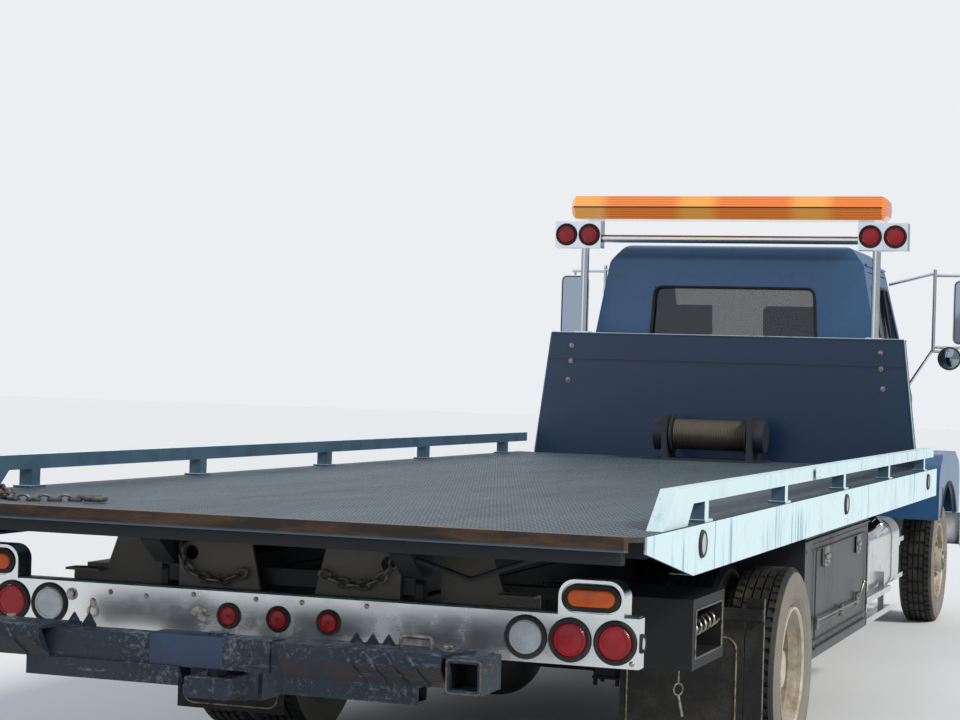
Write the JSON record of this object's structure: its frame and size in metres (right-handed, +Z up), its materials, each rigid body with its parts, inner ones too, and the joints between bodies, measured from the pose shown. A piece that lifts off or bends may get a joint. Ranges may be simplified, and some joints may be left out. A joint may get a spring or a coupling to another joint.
{
  "type": "flatbed tow truck",
  "caption": "Flatbed tow truck with a sliding, tilting deck, side rails, headboard, light pylon, tail lamp bar, wheel lift, toolboxes and a conventional cab with a tilting nose.",
  "frame": {"origin": "on the ground under the middle of the whole truck", "axes": "+X to the front of the truck, +Y to its left, +Z up"},
  "size_m": [9.685, 2.758, 2.65],
  "materials": {
    "chassis_black": "satin black chassis paint, dusty",
    "cast_mass": "oily cast iron",
    "deck_plate": "worn steel-blue tread plate",
    "deck_under": "dark steel-blue paint under the deck, dirty",
    "deck_side": "sun-bleached steel blue paint",
    "lift_paint": "dark blue paint, worn and rusty",
    "head_paint": "dark navy paint",
    "plate_grey": "pale grey weathered paint",
    "stainless": "polished stainless sheet",
    "chrome_bright": "bright chrome",
    "tank_metal": "polished aluminium",
    "box_grey": "dark grey painted sheet",
    "cab_paint": "steel blue gloss paint",
    "lens_red": "moulded red lens",
    "lens_clear": "moulded clear lens",
    "lens_amber": "moulded amber lens",
    "glass_clear": "tinted safety glass",
    "trim_dark": "dark grained trim and vinyl",
    "tyre_rubber": "dusty black tyre rubber",
    "rim_steel": "off-white painted steel rim, dusty",
    "flap_rubber": "black rubber sheet",
    "cylinder_steel": "black painted cylinder",
    "rod_chrome": "hard chromed rod",
    "winch_metal": "dark painted cast housing"
  },
  "bodies": {
    "chassis": {"frame_rails": "chassis_black", "engine_block": "cast_mass", "rear_axle": "chassis_black", "front_axle": "chassis_black", "leaf_springs": "chassis_black", "fuel_tank": "tank_metal", "toolbox_left": "box_grey", "toolbox_right": "box_grey", "rear_brackets": "chassis_black", "mud_flaps": "flap_rubber", "light_bar": "stainless", "tail_lamps_red": "lens_red", "tail_lamps_clear": "lens_clear", "tail_lamps_amber": "lens_amber", "cab_shell": "cab_paint", "cab_glass": "glass_clear", "cab_interior": "trim_dark", "front_bumper": "chrome_bright", "side_plates": "plate_grey", "cab_steps": "tank_metal"},
    "toolbox_door_left": {"toolbox_left_door": "box_grey"},
    "toolbox_door_right": {"toolbox_right_door": "box_grey"},
    "cab_door_left": {"door_left": "cab_paint", "door_left_glass": "glass_clear", "mirror_left": "chrome_bright"},
    "cab_door_right": {"door_right": "cab_paint", "door_right_glass": "glass_clear", "mirror_right": "chrome_bright"},
    "nose_assembly": {"nose": "cab_paint", "grille": "chrome_bright", "headlamps": "lens_clear"},
    "steer_left": {"knuckle_left": "chassis_black"},
    "steer_right": {"knuckle_right": "chassis_black"},
    "front_wheel_left": {"tyre_front_left": "tyre_rubber", "rim_front_left": "rim_steel"},
    "front_wheel_right": {"tyre_front_right": "tyre_rubber", "rim_front_right": "rim_steel"},
    "rear_wheels_left": {"tyres_rear_left": "tyre_rubber", "rims_rear_left": "rim_steel"},
    "rear_wheels_right": {"tyres_rear_right": "tyre_rubber", "rims_rear_right": "rim_steel"},
    "tilt_frame": {"subframe": "chassis_black", "tail_plates": "plate_grey"},
    "cylinder_barrels": {"tilt_barrels": "cylinder_steel"},
    "cylinder_rods": {"tilt_rods": "rod_chrome"},
    "deck": {"deck_floor": "deck_plate", "deck_beams": "deck_under", "side_rails": "deck_side", "headboard": "head_paint", "light_pylon": "chrome_bright", "pylon_lamps": "lens_red", "beacon_bar": "lens_amber", "side_markers": "lens_amber", "winch_frame": "winch_metal"},
    "drum": {"winch_drum": "winch_metal"},
    "boom": {"lift_boom": "lift_paint"},
    "inner_boom": {"lift_inner_boom": "lift_paint"},
    "crossbar": {"lift_crossbar": "lift_paint"}
  },
  "joints": [
    {"name": "rear_wheels_left_roll", "type": "hinge", "parent": "chassis", "child": "rear_wheels_left", "pos_m": [-2.0575, 1, 0.406], "axis": [0, 1, 0], "continuous": true},
    {"name": "rear_wheels_right_roll", "type": "hinge", "parent": "chassis", "child": "rear_wheels_right", "pos_m": [-2.0575, -1, 0.406], "axis": [0, 1, 0], "continuous": true},
    {"name": "steer_left", "type": "hinge", "parent": "chassis", "child": "steer_left", "pos_m": [4.0625, 0.77, 0.406], "axis": [0, 0, 1], "range_deg": [-30, 30]},
    {"name": "steer_right", "type": "hinge", "parent": "chassis", "child": "steer_right", "pos_m": [4.0625, -0.77, 0.406], "axis": [0, 0, 1], "range_deg": [-30, 30]},
    {"name": "front_wheel_left_roll", "type": "hinge", "parent": "steer_left", "child": "front_wheel_left", "pos_m": [4.0625, 0.955, 0.406], "axis": [0, 1, 0], "continuous": true},
    {"name": "front_wheel_right_roll", "type": "hinge", "parent": "steer_right", "child": "front_wheel_right", "pos_m": [4.0625, -0.955, 0.406], "axis": [0, 1, 0], "continuous": true},
    {"name": "cab_door_left_swing", "type": "hinge", "parent": "chassis", "child": "cab_door_left", "pos_m": [3.4305, 0.915, 1.2], "axis": [0, 0, -1], "range_deg": [0, 65]},
    {"name": "cab_door_right_swing", "type": "hinge", "parent": "chassis", "child": "cab_door_right", "pos_m": [3.4305, -0.915, 1.2], "axis": [0, 0, 1], "range_deg": [0, 65]},
    {"name": "nose_tilt", "type": "hinge", "parent": "chassis", "child": "nose_assembly", "pos_m": [4.6925, 0, 0.65], "axis": [0, 1, 0], "range_deg": [0, 60]},
    {"name": "toolbox_door_left_drop", "type": "hinge", "parent": "chassis", "child": "toolbox_door_left", "pos_m": [-0.6175, 1.175, 0.398], "axis": [-1, 0, 0], "range_deg": [0, 95]},
    {"name": "toolbox_door_right_drop", "type": "hinge", "parent": "chassis", "child": "toolbox_door_right", "pos_m": [-0.6175, -1.175, 0.398], "axis": [1, 0, 0], "range_deg": [0, 95]},
    {"name": "deck_tilt", "type": "hinge", "parent": "chassis", "child": "tilt_frame", "pos_m": [-4.1975, 0, 0.862], "axis": [0, -1, 0], "range_deg": [0, 12.5]},
    {"name": "deck_slide", "type": "slide", "parent": "tilt_frame", "child": "deck", "axis": [-1, 0, 0], "range_m": [0, 3.8]},
    {"name": "winch_turn", "type": "hinge", "parent": "deck", "child": "drum", "pos_m": [1.7725, 0, 1.235], "axis": [0, 1, 0], "continuous": true},
    {"name": "cylinder_swing", "type": "hinge", "parent": "chassis", "child": "cylinder_barrels", "pos_m": [-2.7975, 0, 0.69], "axis": [0, -1, 0], "range_deg": [0, 25.7]},
    {"name": "cylinder_stroke", "type": "slide", "parent": "cylinder_barrels", "child": "cylinder_rods", "axis": [0.9959, 0, 0.0909], "range_m": [0, 0.135]},
    {"name": "lift_lower", "type": "hinge", "parent": "chassis", "child": "boom", "pos_m": [-3.6575, 0, 0.585], "axis": [0, -1, 0], "range_deg": [0, 14]},
    {"name": "lift_reach", "type": "slide", "parent": "boom", "child": "inner_boom", "axis": [-1, 0, 0], "range_m": [0, 0.6]},
    {"name": "crossbar_swivel", "type": "hinge", "parent": "inner_boom", "child": "crossbar", "pos_m": [-4.7275, 0, 0.684], "axis": [0, 0, 1], "range_deg": [-12, 12]}
  ],
  "couplings": [
    {"joint": "steer_right", "follows": "steer_left", "ratio": 1},
    {"joint": "cylinder_swing", "follows": "deck_tilt", "ratio": 2.048},
    {"joint": "cylinder_stroke", "follows": "deck_tilt", "m_per_rad": 0.599}
  ]
}
